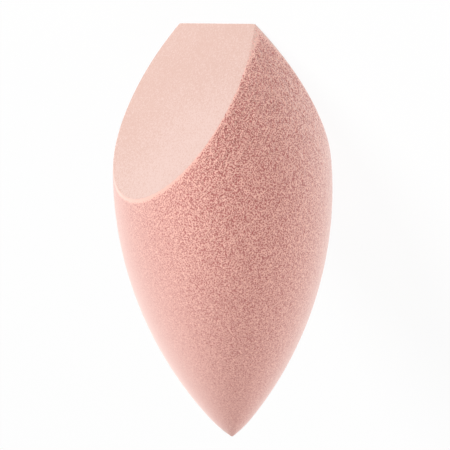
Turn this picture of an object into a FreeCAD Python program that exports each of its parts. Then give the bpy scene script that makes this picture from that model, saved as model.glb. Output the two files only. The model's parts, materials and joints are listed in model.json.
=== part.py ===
import FreeCAD, Part
import math
import os

# A makeup sponge, dry and at full size. It is one pointed, lemon-shaped foam moulding with two flat
# faces cut across its blunt end. The cuts meet in a straight ridge, as on a chisel.
# The foam has two zones: a soft open-celled core, bare on the cut faces, and a closer-celled
# pebbled skin, which set against the mould, covers the sides and the tip and stops at the cuts.
# Each zone is a solid of its own, and they meet face to face.
#
# The sponge is drawn with its axis along X and its ridge along Y. The two cut planes meet in the
# Y axis, and the tip is at the far end of X. It is then laid on one cut face, as it rests on a table:
# that face is at z = 0, the tip points up and towards +X, and the origin is below the middle.
# Lengths are in millimetres and angles in degrees.

# Outer shape
body_diameter = 36.0    # across the widest section
crown_share = 1.328     # arc of the side from the widest section up to the ridge, in body diameters
flank_share = 1.68      # arc of the side from the widest section down to the nose, in body diameters
nose_share = 0.539      # arc of the nose, which rounds in more quickly to the tip, in body diameters
nose_angle = 40.5       # how far round the flank arc the nose begins
tip_radius = 0.3        # rounding of the tip

# Cut faces
ridge_height = 25.7     # along the axis, from the widest section to the top of the ridge
cut_angle = 33.0        # between each cut face and the axis
ridge_radius = 0.1      # rounding of the ridge between the two cuts

# Foam zones
skin_thickness = 0.8    # of the moulded skin on the sides
core_tip_radius = 2.5   # end of the core inside the tip, where the skin is thickest

# How far the cutting solid runs past what it cuts
cut_overrun = 5.0

full_turn = 360
origin = FreeCAD.Vector(0, 0, 0)
along_axis = FreeCAD.Vector(1, 0, 0)
along_ridge = FreeCAD.Vector(0, 1, 0)

body_radius = body_diameter / 2
crown_radius = crown_share * body_diameter
flank_radius = flank_share * body_diameter
nose_radius = nose_share * body_diameter
cut_slope = math.radians(cut_angle)
nose_turn = math.radians(nose_angle)
ridge_top_x = ridge_radius / math.sin(cut_slope) - ridge_radius
widest_x = ridge_top_x + ridge_height


def arc(centre, start, end):
    """Edge of the circle about centre that goes the short way from start to end."""
    outwards = (start - centre) + (end - centre)
    outwards.normalize()
    middle = centre + outwards * (start - centre).Length
    return Part.Arc(start, middle, end).toShape()


def closed_face(edges):
    """Flat face inside a closed ring of edges."""
    return Part.Face(Part.Wire(edges))


def lemon(radius, crown, flank, nose, tip):
    """Solid of revolution about X with the widest section at widest_x.

    Its outline is a crown arc and a flank arc, which both touch the widest radius squarely, a nose arc
    that runs on smoothly from the flank, and a tip arc on the axis that runs on smoothly from the nose."""
    widest = FreeCAD.Vector(widest_x, 0, radius)
    crown_centre = FreeCAD.Vector(widest_x, 0, radius - crown)
    flank_centre = FreeCAD.Vector(widest_x, 0, radius - flank)
    crown_length = math.sqrt(crown ** 2 - (crown - radius) ** 2)
    blunt_end = FreeCAD.Vector(widest_x - crown_length, 0, 0)
    towards_nose = FreeCAD.Vector(math.sin(nose_turn), 0, math.cos(nose_turn))
    flank_end = flank_centre + towards_nose * flank
    nose_centre = flank_end - towards_nose * nose
    nose_length = math.sqrt((nose - tip) ** 2 - nose_centre.z ** 2)
    tip_centre = FreeCAD.Vector(nose_centre.x + nose_length, 0, 0)
    tip_end = tip_centre + along_axis * tip
    towards_tip = tip_centre - nose_centre
    towards_tip.normalize()
    nose_end = nose_centre + towards_tip * nose
    outline = [
        arc(crown_centre, blunt_end, widest),
        arc(flank_centre, widest, flank_end),
        arc(nose_centre, flank_end, nose_end),
        arc(tip_centre, nose_end, tip_end),
        Part.LineSegment(tip_end, blunt_end).toShape(),
    ]
    return closed_face(outline).revolve(origin, along_axis, full_turn)


def cut_wedge(length, width):
    """Prism between the two cut planes, as long and as wide as given, with the ridge rounded off."""
    tangent_length = ridge_radius / math.tan(cut_slope)
    tangent_x = tangent_length * math.cos(cut_slope)
    tangent_z = tangent_length * math.sin(cut_slope)
    half_height = length * math.tan(cut_slope)
    ridge_centre = FreeCAD.Vector(ridge_top_x + ridge_radius, 0, 0)
    lower_tangent = FreeCAD.Vector(tangent_x, 0, -tangent_z)
    upper_tangent = FreeCAD.Vector(tangent_x, 0, tangent_z)
    lower_far = FreeCAD.Vector(length, 0, -half_height)
    upper_far = FreeCAD.Vector(length, 0, half_height)
    outline = [
        arc(ridge_centre, lower_tangent, upper_tangent),
        Part.LineSegment(upper_tangent, upper_far).toShape(),
        Part.LineSegment(upper_far, lower_far).toShape(),
        Part.LineSegment(lower_far, lower_tangent).toShape(),
    ]
    prism = closed_face(outline).extrude(along_ridge * width)
    return prism.translated(along_ridge * (-width / 2))


def foam_zones():
    """The core and the skin, still on the X axis. The skin is the whole sponge less its core."""
    moulding = lemon(body_radius, crown_radius, flank_radius, nose_radius, tip_radius)
    inside = lemon(
        body_radius - skin_thickness,
        crown_radius - skin_thickness,
        flank_radius - skin_thickness,
        nose_radius - skin_thickness,
        core_tip_radius,
    )
    wedge = cut_wedge(moulding.BoundBox.XMax + cut_overrun, body_diameter + cut_overrun)
    core = inside.common(wedge)
    skin = moulding.common(wedge).cut(core)
    return {"foam_core": core, "moulded_skin": skin}


def laid_on_cut_face(zones):
    """The zones turned about the ridge until one cut face is level, with the origin below the middle."""
    turned = {name: zone.rotated(origin, along_ridge, -cut_angle) for name, zone in zones.items()}
    box = Part.Compound(list(turned.values())).optimalBoundingBox(False)
    to_origin = FreeCAD.Vector(-box.Center.x, -box.Center.y, 0)
    return {name: zone.translated(to_origin) for name, zone in turned.items()}


os.makedirs("parts", exist_ok=True)
for name, zone in laid_on_cut_face(foam_zones()).items():
    solid = zone.Solids[0]
    solid.exportStep(f"parts/{name}.step")
    print(f"{name}: {len(zone.Solids)} solid, valid {solid.isValid()}, {solid.Volume:.1f} mm3")
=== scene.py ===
import bmesh
import bpy
import json
import numpy as np
from mathutils import Matrix, Vector


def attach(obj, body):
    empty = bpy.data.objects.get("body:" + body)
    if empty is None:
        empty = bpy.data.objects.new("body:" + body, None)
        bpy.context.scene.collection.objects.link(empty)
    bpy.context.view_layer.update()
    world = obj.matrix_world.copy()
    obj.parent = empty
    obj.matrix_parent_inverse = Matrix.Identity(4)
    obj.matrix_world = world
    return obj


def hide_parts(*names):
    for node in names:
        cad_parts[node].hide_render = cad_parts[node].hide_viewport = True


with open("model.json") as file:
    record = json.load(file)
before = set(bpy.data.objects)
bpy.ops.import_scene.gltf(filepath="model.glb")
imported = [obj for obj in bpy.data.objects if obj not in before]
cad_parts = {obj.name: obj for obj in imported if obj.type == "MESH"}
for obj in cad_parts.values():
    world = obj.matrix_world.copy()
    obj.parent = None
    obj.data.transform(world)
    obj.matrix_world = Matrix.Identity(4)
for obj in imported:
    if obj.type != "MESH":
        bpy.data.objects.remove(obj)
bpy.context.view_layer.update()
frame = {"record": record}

# Foam core
# The soft open-celled inside of the sponge, poured as one piece of polyurethane foam.
# A blade takes two flat slices off its blunt end. They leave the core bare there and meet in a ridge.

# The cut angle, the line where the two cuts meet and the width of the sponge, as the frame has them
mounts = {mount["name"]: mount for mount in frame["record"]["mounts"]}
upper_normal = mounts["upper_cut_face"]["axis"]
upper_point = mounts["upper_cut_face"]["pos_m"]
cut_angle = np.arctan2(-upper_normal[0], upper_normal[2]) / 2
cut_line_x = upper_point[0] + upper_point[2] * upper_normal[2] / upper_normal[0]
body_radius = frame["record"]["size"]["bbox_m"][1] / 2

# Other sizes of the moulding, in metres, with its long arcs as shares of the sponge's width
crown_radius = 1.328 * 2 * body_radius
flank_radius = 1.68 * 2 * body_radius
nose_radius = 0.539 * 2 * body_radius
nose_angle = np.radians(40.5)
ridge_height = 0.0257
ridge_radius = 0.0001
skin_thickness = 0.0008
core_tip_radius = 0.0025

# Mesh: columns go round the axis, none of them exactly at an end of the ridge
columns = 4 * 120 + 2
wall_rows = 24
cut_rows = 90
crisp = 0.999
ridge_crowding = 0.6
halvings = 50
outline_samples = 4000
merge_distance = 1e-8

widest_x = ridge_radius / np.sin(cut_angle) - ridge_radius + ridge_height
azimuth = np.arange(columns) * 2 * np.pi / columns
tip_way = np.array([np.cos(cut_angle), 0, np.sin(cut_angle)])
ridge_way = np.array([0, 1, 0])


def nose_centre(widest, flank, nose):
    """Centre of the nose arc, past the widest section and above the axis: on the flank arc's own radius
    at the nose angle, so that the one runs on smoothly into the other."""
    return (flank - nose) * np.sin(nose_angle), widest - flank + (flank - nose) * np.cos(nose_angle)


def tip_ball_x(widest, flank, nose, tip):
    """Distance past the widest section of the centre of a ball that rounds off the tip: the ball
    touches the nose arc from inside, which gives a right triangle between the two centres."""
    nose_x, nose_up = nose_centre(widest, flank, nose)
    return nose_x + np.sqrt((nose - tip) ** 2 - nose_up ** 2)


def lemon_radius(x, widest, crown, flank, nose, tip):
    """Radius of the lemon at x along its axis, from four arcs in a row: the crown and the flank both
    touch the widest radius squarely, the nose rounds in from the flank, and a ball rounds off the tip."""
    past_widest = x - widest_x
    nose_x, nose_up = nose_centre(widest, flank, nose)
    ball_x = tip_ball_x(widest, flank, nose, tip)
    flank_end = flank * np.sin(nose_angle)
    nose_end = nose_x + (ball_x - nose_x) * nose / (nose - tip)
    on_crown = widest - crown + np.sqrt(np.maximum(crown ** 2 - past_widest ** 2, 0))
    on_flank = widest - flank + np.sqrt(np.maximum(flank ** 2 - past_widest ** 2, 0))
    on_nose = nose_up + np.sqrt(np.maximum(nose ** 2 - (past_widest - nose_x) ** 2, 0))
    on_ball = np.sqrt(np.maximum(tip ** 2 - (past_widest - ball_x) ** 2, 0))
    past_flank = np.where(past_widest < nose_end, on_nose, on_ball)
    return np.where(past_widest < 0, on_crown, np.where(past_widest < flank_end, on_flank, past_flank))


def cut_x(z):
    """Where the cuts lie along the axis, at a height z from the ridge: two straight slopes with a
    small arc between them."""
    on_slope = np.abs(z) / np.tan(cut_angle)
    on_ridge = ridge_radius / np.sin(cut_angle) - np.sqrt(np.maximum(ridge_radius ** 2 - z ** 2, 0))
    return np.where(np.abs(z) < ridge_radius * np.cos(cut_angle), on_ridge, on_slope)


def cut_edge_x(lemon):
    """For each column, the place along the axis where the lemon meets a cut. The gap between the two
    has one change of sign there, so halving an interval again and again finds it."""
    near = np.zeros(columns)
    far = np.full(columns, widest_x + body_radius)
    for _ in range(halvings):
        middle = (near + far) / 2
        sliced_off = cut_x(lemon_radius(middle, *lemon) * np.cos(azimuth)) > middle
        near = np.where(sliced_off, middle, near)
        far = np.where(sliced_off, far, middle)
    return far


def on_lemon(x, lemon):
    """Points on the lemon at x in each column: across the axis, y is the sine and z the cosine."""
    radius = lemon_radius(x, *lemon)
    x = np.broadcast_to(x, radius.shape)
    return np.stack([x, radius * np.sin(azimuth), radius * np.cos(azimuth)], axis=-1)


def meridians(lemon, end_x, share):
    """Rows of points from the tip, at share 0, to end_x in each column, at share 1. The shares are of
    the outline's own length between the two."""
    widest, crown, flank, nose, tip = lemon
    tip_x = widest_x + tip_ball_x(widest, flank, nose, tip) + tip
    sample_x = tip_x * (1 - np.linspace(0, 1, outline_samples) ** 2)
    sample_radius = lemon_radius(sample_x, *lemon)
    steps = np.hypot(np.diff(sample_x), np.diff(sample_radius))
    length = np.concatenate([[0], np.cumsum(steps)])
    end_length = np.interp(-end_x, -sample_x, length)
    return on_lemon(np.interp(share[:, None] * end_length, length, sample_x), lemon)


def onto_cut(points):
    """The same points, moved along the axis onto the cuts."""
    return np.stack([cut_x(points[..., 2]), points[..., 1], points[..., 2]], axis=-1)


def laid_down(points):
    """Points given along the axis, along the ridge and across both, turned about the line where the
    cuts meet until the lower cut lies level on the ground."""
    x, y, z = np.moveaxis(points, -1, 0)
    along = cut_line_x + x * np.cos(cut_angle) - z * np.sin(cut_angle)
    up = x * np.sin(cut_angle) + z * np.cos(cut_angle)
    return np.stack([along, y, up], axis=-1)


def piece_from_rings(name, rings, values):
    """Closed mesh of quads between rings of points. Rings that shrink to a point, or fold onto
    themselves along the ridge, are closed by merging what coincides. values adds one number per point."""
    rows, around = rings.shape[:2]
    index = np.arange(rows * around).reshape(rows, around)
    beside = np.roll(index, -1, axis=1)
    quads = np.stack([index[:-1], beside[:-1], beside[1:], index[1:]], axis=-1).reshape(-1, 4)
    mesh = bpy.data.meshes.new(name)
    mesh.from_pydata(laid_down(rings).reshape(-1, 3), [], quads)
    for label, numbers in values.items():
        layer = mesh.attributes.new(label, "FLOAT", "POINT")
        spread = np.broadcast_to(numbers, (rows, around)).astype(np.float32)
        layer.data.foreach_set("value", spread.ravel())
    merged = bmesh.new()
    merged.from_mesh(mesh)
    bmesh.ops.remove_doubles(merged, verts=merged.verts, dist=merge_distance)
    merged.to_mesh(mesh)
    merged.free()
    mesh.shade_smooth()
    piece = bpy.data.objects.new(name, mesh)
    bpy.context.scene.collection.objects.link(piece)
    return piece


class Wire:
    """A value on its way through a material. Sums and products of wires add Math nodes."""

    def __init__(self, tree, socket=None):
        self.tree = tree
        self.socket = socket

    def node(self, kind, settings, sockets, output=0):
        """A new node of that type. Its settings are set first, then its sockets get values or wires."""
        made = self.tree.nodes.new(kind)
        for name, value in settings.items():
            setattr(made, name, value)
        for name, value in sockets.items():
            if isinstance(value, Wire):
                self.tree.links.new(value.socket, made.inputs[name])
            else:
                made.inputs[name].default_value = value
        return Wire(self.tree, made.outputs[output] if made.outputs else None)

    def math(self, operation, first, second):
        return self.node("ShaderNodeMath", {"operation": operation}, {0: first, 1: second})

    def __add__(self, other):
        return self.math("ADD", self, other)

    def __radd__(self, other):
        return self.math("ADD", other, self)

    def __sub__(self, other):
        return self.math("SUBTRACT", self, other)

    def __rsub__(self, other):
        return self.math("SUBTRACT", other, self)

    def __mul__(self, other):
        return self.math("MULTIPLY", self, other)

    def __rmul__(self, other):
        return self.math("MULTIPLY", other, self)

    def ramp(self, low, high):
        """0 at low and 1 at high, with a smooth rise between them."""
        limits = {"Value": self, "From Min": low, "From Max": high}
        return self.node("ShaderNodeMapRange", {"interpolation_type": "SMOOTHSTEP"}, limits)

    def between(self, first, second):
        """A colour from first, where this wire is 0, to second, where it is 1."""
        return self.node("ShaderNodeMix", {"data_type": "RGBA"}, {0: self, 6: first, 7: second}, output=2)


def new_material(name):
    """An empty node material, and a bare wire that makes its nodes."""
    material = bpy.data.materials.new(name)
    material.use_nodes = True
    material.node_tree.nodes.clear()
    return material, Wire(material.node_tree)


foam_roughness = 0.9
foam_specular = 0.1
noise_roughness = 0.6


def speckle(start, place, size, detail):
    """Noise with lumps of about the given size in metres, from minus a half to a half."""
    sockets = {"Vector": place, "Scale": 1 / size, "Detail": detail, "Roughness": noise_roughness}
    return start.node("ShaderNodeTexNoise", {"noise_dimensions": "3D"}, sockets) - 0.5


cut_cell_size = 0.00028
cut_cell_depth = 0.00001
cut_cloud_size = 0.006
cut_cell_contrast = 5.0
cut_cloud_contrast = 0.5
cut_pale = (0.765, 0.57, 0.515, 1)
cut_deep = (0.69, 0.462, 0.392, 1)
# Painted light on the cut faces: paler away from the ridge and towards one side, where more light falls
painted_light_reach = 0.02
painted_light_lean = 33.0
painted_light_start = 0.6
painted_light_strength = 0.8
ridge_paleness = 0.1
cut_sheen = 0.25
sheen_roughness = 0.75


def along_way(start, place, way):
    """How far a place lies in a direction, as the product of the two."""
    settings = {"operation": "DOT_PRODUCT"}
    return start.node("ShaderNodeVectorMath", settings, {0: place, 1: way}, output="Value")


def cut_foam_shader(start, place):
    """Foam sliced by a blade: fine cells that hardly show, faint clouds of colour, and little sheen.
    Painted light makes it paler by the product of the distance from the ridge and the distance towards
    one side."""
    cells = speckle(start, place, cut_cell_size, 2)
    clouds = speckle(start, place, cut_cloud_size, 1)
    from_ridge = along_way(start, place, tip_way) - cut_line_x * tip_way[0]
    to_side = painted_light_start + painted_light_lean * along_way(start, place, ridge_way)
    # Painted light: the face is painted paler away from the ridge and towards one side
    painted_light = (from_ridge * to_side).ramp(0, painted_light_reach)
    mottle = cut_cell_contrast * cells + cut_cloud_contrast * clouds
    mottle_and_painted_light = ridge_paleness + painted_light_strength * painted_light + mottle
    bump = start.node("ShaderNodeBump", {}, {"Distance": cut_cell_depth, "Height": cells})
    return start.node("ShaderNodeBsdfPrincipled", {}, {
        "Base Color": mottle_and_painted_light.between(cut_deep, cut_pale),
        "Roughness": foam_roughness,
        "Diffuse Roughness": 1,
        "Specular IOR Level": foam_specular,
        "Sheen Weight": cut_sheen,
        "Sheen Roughness": sheen_roughness,
        "Normal": bump,
    })


core_lemon = (
    body_radius - skin_thickness,
    crown_radius - skin_thickness,
    flank_radius - skin_thickness,
    nose_radius - skin_thickness,
    core_tip_radius,
)
core_edge_x = cut_edge_x(core_lemon)
core_wall = meridians(core_lemon, core_edge_x, np.append(np.linspace(0, crisp, wall_rows), 1))
core_edge = onto_cut(core_wall[-1])
core_wall[-1] = core_edge
ridge_end = np.abs(core_edge[:, 1][np.argmin(np.abs(core_edge[:, 2]))])


def core_cuts():
    """The two bare cut faces. Each column runs straight from the edge of the core to its own point on
    the ridge, with closer rows near the ridge. Columns on either side share their points there."""
    share = np.linspace(1, 0, cut_rows)[:, None]
    share = crisp * ((1 - ridge_crowding) * share + ridge_crowding * share ** 2)
    ridge_y = ridge_end * np.sin(azimuth)
    y = share * core_edge[:, 1] + (1 - share) * ridge_y
    z = share * core_edge[:, 2]
    return onto_cut(np.stack([np.zeros_like(y), y, z], axis=-1))


foam_core = piece_from_rings("cut_foam_core", np.concatenate([core_wall, core_cuts()]), {})
cut_material, cut_start = new_material("cut_foam")
cut_place = cut_start.node("ShaderNodeTexCoord", {}, {}, output="Object")
cut_start.node("ShaderNodeOutputMaterial", {}, {"Surface": cut_foam_shader(cut_start, cut_place)})
foam_core.data.materials.append(cut_material)
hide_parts("foam_core")
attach(foam_core, "root")

# Moulded skin
# The closer-celled outer layer of the same foam, which set against the wall of the mould.
# It is finely pebbled, stops at the two cuts with a softly broken edge, and is grown onto the core.

tip_radius = 0.0003
edge_setback = 0.00025
corner_setback = 0.0013
corner_reach = 0.003
skin_rows = 300
tip_crowding = 1.15
edge_rows = 7
pebble_size = 0.00022
pebble_height = 0.00009
pebble_fade = 0.0012
lattice_cells = 64
lip_reach = 0.0006
lip_share = 0.5
# Strength of the pebbling, by distance along the axis and by cosine of the angle from the side that
# the light grazes: it follows the light, so the pits carry most painted shade there
roughness_at_x = {0.012: 1.7, 0.028: 1.0, 0.042: 0.55, 0.064: 0.24}
light_grazing_side = np.radians(75)
roughness_by_light_side = {0.0: 0.2, 0.6: 0.55, 0.95: 1.05}

skin_lemon = (body_radius, crown_radius, flank_radius, nose_radius, tip_radius)
skin_edge_x = cut_edge_x(skin_lemon)
skin_edge = onto_cut(on_lemon(skin_edge_x, skin_lemon))
# The blade frays the skin more at the two ends of the ridge
setback = edge_setback + corner_setback * np.exp(-(skin_edge[:, 2] / corner_reach) ** 2)


def lumps(points, size, seed):
    """Smooth noise from -1 to 1: random numbers at the corners of a lattice of cells of that size,
    blended across each cell by smooth steps along its three sides."""
    corners = np.random.default_rng(seed).uniform(-1, 1, (lattice_cells, lattice_cells, lattice_cells))
    cell = np.floor(points / size).astype(int)
    inside = points / size - cell
    step = inside * inside * (3 - 2 * inside)
    total = np.zeros(points.shape[:-1])
    for corner in np.ndindex(2, 2, 2):
        weight = np.where(corner, step, 1 - step).prod(axis=-1)
        total += weight * corners[tuple(np.moveaxis((cell + corner) % lattice_cells, -1, 0))]
    return total


def lemon_normals(points, lemon):
    """Outward directions of the lemon at points on it: across the axis, tilted by the outline's slope."""
    small = 1e-6
    x = points[..., 0]
    slope = (lemon_radius(x + small, *lemon) - lemon_radius(x - small, *lemon)) / (2 * small)
    sideways = np.broadcast_to(np.sin(azimuth), x.shape)
    upward = np.broadcast_to(np.cos(azimuth), x.shape)
    normal = np.stack([-slope, sideways, upward], axis=-1)
    return normal / np.linalg.norm(normal, axis=-1, keepdims=True)


def roughness_of(points):
    """How strong the pebbling is at points on the skin: most by the ridge and least by the tip, and
    calmer round the axis away from the side that the light grazes, by the cosine of the angle from it.
    This spreads the painted shade of the pits by how the light falls."""
    along = np.interp(points[..., 0], list(roughness_at_x), list(roughness_at_x.values()))
    off_side = np.cos(azimuth - light_grazing_side)
    return along * np.interp(off_side, list(roughness_by_light_side), list(roughness_by_light_side.values()))


def pebbles(points):
    """How far the skin is raised or sunk at points on it, in shares of the pebble height: noise that
    grows calmer from the ridge to the tip. The tip's own point stays put, so that it closes."""
    relief = roughness_of(points) * lumps(points, pebble_size, seed=3)
    relief[0] = 0
    return relief


def from_edge(points):
    """How far along the axis points on the side lie from where the broken edge begins."""
    return points[..., 0] - skin_edge_x - setback


def pebbled(points, relief):
    """The points moved square to the skin by their relief, which fades out at the cut edge."""
    fade = np.clip(from_edge(points) / pebble_fade, 0, 1)
    return points + (pebble_height * fade * relief)[..., None] * lemon_normals(points, skin_lemon)


def broken_edge(start):
    """The rounded edge between the side and a cut: in each column a curve that leaves the side, bends
    towards the sharp corner and comes down on the cut, which is a parabola between the two."""
    inwards = core_edge - skin_edge
    inwards = inwards / np.linalg.norm(inwards, axis=-1, keepdims=True)
    end = onto_cut(skin_edge + edge_setback * inwards)
    t = np.linspace(0, 1, edge_rows)[1:, None, None]
    curve = (1 - t) ** 2 * start + 2 * t * (1 - t) * skin_edge + t ** 2 * end
    rim = onto_cut(crisp * core_edge + (1 - crisp) * end)
    return np.concatenate([curve, rim[None]])


smooth_side = meridians(skin_lemon, skin_edge_x + setback, np.linspace(0, 1, skin_rows) ** tip_crowding)
side_relief = pebbles(smooth_side)
side = pebbled(smooth_side, side_relief)
edge = broken_edge(side[-1])
rings = np.concatenate([side, edge, core_wall[::-1]])
on_cut = np.ones(rings.shape[:2])
# on_cut rises towards the cut; besides marking the cut face it drives a painted highlight along the lip
on_cut[:len(side)] = lip_share * np.clip(1 - from_edge(smooth_side) / lip_reach, 0, 1)
on_cut[len(side):-1 - len(core_wall)] = np.linspace(lip_share, 1, edge_rows)[1:, None]
relief = np.zeros(rings.shape[:2])
relief[:len(side)] = side_relief
values = {"on_cut": on_cut, "relief": relief, "roughness_share": roughness_of(rings)}
skin = piece_from_rings("pebbled_skin", rings, values)

grain_size = 0.00021
grain_depth = 0.00012
# Crest and pit colours: the pits are painted darker and deeper in colour, which is painted shade in the
# hollows
crest_colour = (1.0, 0.58, 0.475, 1)
pit_shade_colour = (0.53, 0.055, 0.04, 1)
relief_shade_contrast = 0.2
grain_shade_contrast = 6.5
# Painted highlight: how much paler the lip along the cuts is painted
lip_highlight_contrast = 2.0
skin_sheen = 0.98
mask_fray = 0.8
mask_start = 0.55
mask_end = 0.9
sheen_tint = (1.0, 0.92, 0.88, 1)


def pebbled_shader(start, on_cut, relief, grain):
    """Foam that set against the mould: low pebbles under a grain of pits and crests, both about a fifth
    of a millimetre across, under a thin veil of sheen. The pits are painted darker and deeper in colour
    than the pale crests, which is painted shade in the hollows. A narrow pale lip along the cuts is
    partly the pits closing up there and partly a painted highlight on the rounded edge."""
    # Painted shade: lower relief and grain paint the pits darker; the on_cut term paints a pale highlight
    # along the cuts
    crests = 0.5 + relief_shade_contrast * relief + grain_shade_contrast * grain + lip_highlight_contrast * on_cut
    bump = start.node("ShaderNodeBump", {}, {"Distance": grain_depth, "Height": grain})
    return start.node("ShaderNodeBsdfPrincipled", {}, {
        "Base Color": crests.between(pit_shade_colour, crest_colour),
        "Roughness": foam_roughness,
        "Diffuse Roughness": 1,
        "Specular IOR Level": foam_specular,
        "Sheen Weight": skin_sheen,
        "Sheen Tint": sheen_tint,
        "Sheen Roughness": sheen_roughness,
        "Normal": bump,
    })


def point_values(start, names):
    """One wire for each of the named numbers that the mesh carries at its points."""
    kind = "ShaderNodeAttribute"
    return {name: start.node(kind, {"attribute_name": name}, {}, output="Fac") for name in names}


skin_material, skin_start = new_material("moulded_foam")
place = skin_start.node("ShaderNodeTexCoord", {}, {}, output="Object")
shares = point_values(skin_start, values)
grain = shares["roughness_share"] * speckle(skin_start, place, grain_size, 1)
cut_mask = (shares["on_cut"] + mask_fray * grain).ramp(mask_start, mask_end)
pebbled_side = pebbled_shader(skin_start, shares["on_cut"], shares["relief"], grain)
shaders = {0: cut_mask, 1: pebbled_side, 2: cut_foam_shader(skin_start, place)}
surface = skin_start.node("ShaderNodeMixShader", {}, shaders)
skin_start.node("ShaderNodeOutputMaterial", {}, {"Surface": surface})
skin.data.materials.append(skin_material)
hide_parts("moulded_skin")
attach(skin, "root")

# Camera
# A long lens that looks at the sponge from above one end of its ridge, rolled until the tip hangs down.

view_turn = np.radians(53.6)
view_lift = np.radians(4.3)
view_roll = np.radians(2.1)
view_distance = 0.8
view_width = 0.07395
aim_along_axis = 0.034
aim_right = 0.00008
aim_up = 0.00079

across_way = np.cross(tip_way, ridge_way)
level_right = np.cos(view_turn) * ridge_way - np.sin(view_turn) * across_way
level_near = np.sin(view_turn) * ridge_way + np.cos(view_turn) * across_way
near_way = np.cos(view_lift) * level_near - np.sin(view_lift) * tip_way
level_up = np.cross(near_way, level_right)
right_way = np.cos(view_roll) * level_right - np.sin(view_roll) * level_up
up_way = np.cross(near_way, right_way)
aim = np.array([cut_line_x, 0, 0]) + aim_along_axis * tip_way + aim_right * right_way + aim_up * up_way

lens = bpy.data.cameras.new("photo_lens")
lens.sensor_fit = "HORIZONTAL"
lens.lens = lens.sensor_width * view_distance / view_width
lens.clip_start = 0.01
camera = bpy.data.objects.new("photo_camera", lens)
camera.matrix_world = Matrix.Translation(aim + view_distance * near_way) @ Matrix(
    np.stack([right_way, up_way, near_way], axis=1)
).to_4x4()
bpy.context.scene.collection.objects.link(camera)
bpy.context.scene.camera = camera

# Floor
# A plain white table top, wide enough to fill the picture, with a faint soft shadow of the sponge.
# It glows a little, which keeps it white and lights the right rim of the sponge from below.

floor_half = 3.0
floor_drop = 0.0002
floor_white = (0.9, 0.9, 0.9, 1)
floor_glow = 0.93
floor_spill = 0.9

floor_mesh = bpy.data.meshes.new("table_top")
floor_corners = [(-1, -1), (1, -1), (1, 1), (-1, 1)]
floor_points = [(x * floor_half, y * floor_half, -floor_drop) for x, y in floor_corners]
floor_mesh.from_pydata(floor_points, [], [(0, 1, 2, 3)])
floor = bpy.data.objects.new("table_top", floor_mesh)
bpy.context.scene.collection.objects.link(floor)
floor_material, floor_start = new_material("table_white")


def seen_rays(start):
    """1 for rays from the camera, reflections and glass, and 0 for rays that only carry light."""
    camera_ray = start.node("ShaderNodeLightPath", {}, {}, output="Is Camera Ray")
    glossy_ray = start.node("ShaderNodeLightPath", {}, {}, output="Is Glossy Ray")
    glass_ray = start.node("ShaderNodeLightPath", {}, {}, output="Is Transmission Ray")
    return (camera_ray + glossy_ray + glass_ray).ramp(0, 1)


table = floor_start.node("ShaderNodeBsdfDiffuse", {}, {"Color": floor_white})
glow = floor_start.node("ShaderNodeEmission", {}, {"Color": (1, 1, 1, 1), "Strength": 1})
glow_share = floor_spill + (floor_glow - floor_spill) * seen_rays(floor_start)
floor_surface = floor_start.node("ShaderNodeMixShader", {}, {0: glow_share, 1: table, 2: glow})
floor_start.node("ShaderNodeOutputMaterial", {}, {"Surface": floor_surface})
floor_mesh.materials.append(floor_material)

# Light
# Three softboxes: the key from the left of the picture, a fill from its lower right and one below the
# tip. White surroundings light every side a little.

softbox_size = 0.45
softbox_distance = 0.6
key_level = 1.37
key_polar = np.radians(72)
key_turn = np.radians(156)
fill_level = 0.45
fill_polar = np.radians(42)
fill_turn = np.radians(-24)
tip_level = 0.36
tip_polar = np.radians(84)
tip_turn = np.radians(272)
surround_level = 0.19


def softbox(name, polar, turn, level):
    """A square lamp that looks at the sponge, at an angle polar from the camera, turned from the right
    of the picture towards its top. White that faces it gets the given level of light, which takes a
    power of the level, times pi squared, times the distance squared."""
    way = np.sin(polar) * (np.cos(turn) * right_way + np.sin(turn) * up_way) + np.cos(polar) * near_way
    lamp = bpy.data.lights.new(name, "AREA")
    lamp.size = softbox_size
    lamp.energy = level * np.pi ** 2 * softbox_distance ** 2
    stand = bpy.data.objects.new(name, lamp)
    stand.location = aim + softbox_distance * way
    stand.rotation_mode = "QUATERNION"
    stand.rotation_quaternion = Vector(-way).to_track_quat("-Z", "Y")
    bpy.context.scene.collection.objects.link(stand)


softbox("key_softbox", key_polar, key_turn, key_level)
softbox("fill_softbox", fill_polar, fill_turn, fill_level)
softbox("tip_softbox", tip_polar, tip_turn, tip_level)

world = bpy.data.worlds.new("white_surroundings")
world.use_nodes = True
world.node_tree.nodes.clear()
world_start = Wire(world.node_tree)
seen = seen_rays(world_start)
strength = seen + surround_level * (1 - seen)
surround = world_start.node("ShaderNodeBackground", {}, {"Color": (1, 1, 1, 1), "Strength": strength})
world_start.node("ShaderNodeOutputWorld", {}, {"Surface": surround})
bpy.context.scene.world = world
bpy.context.scene.view_settings.view_transform = "Standard"
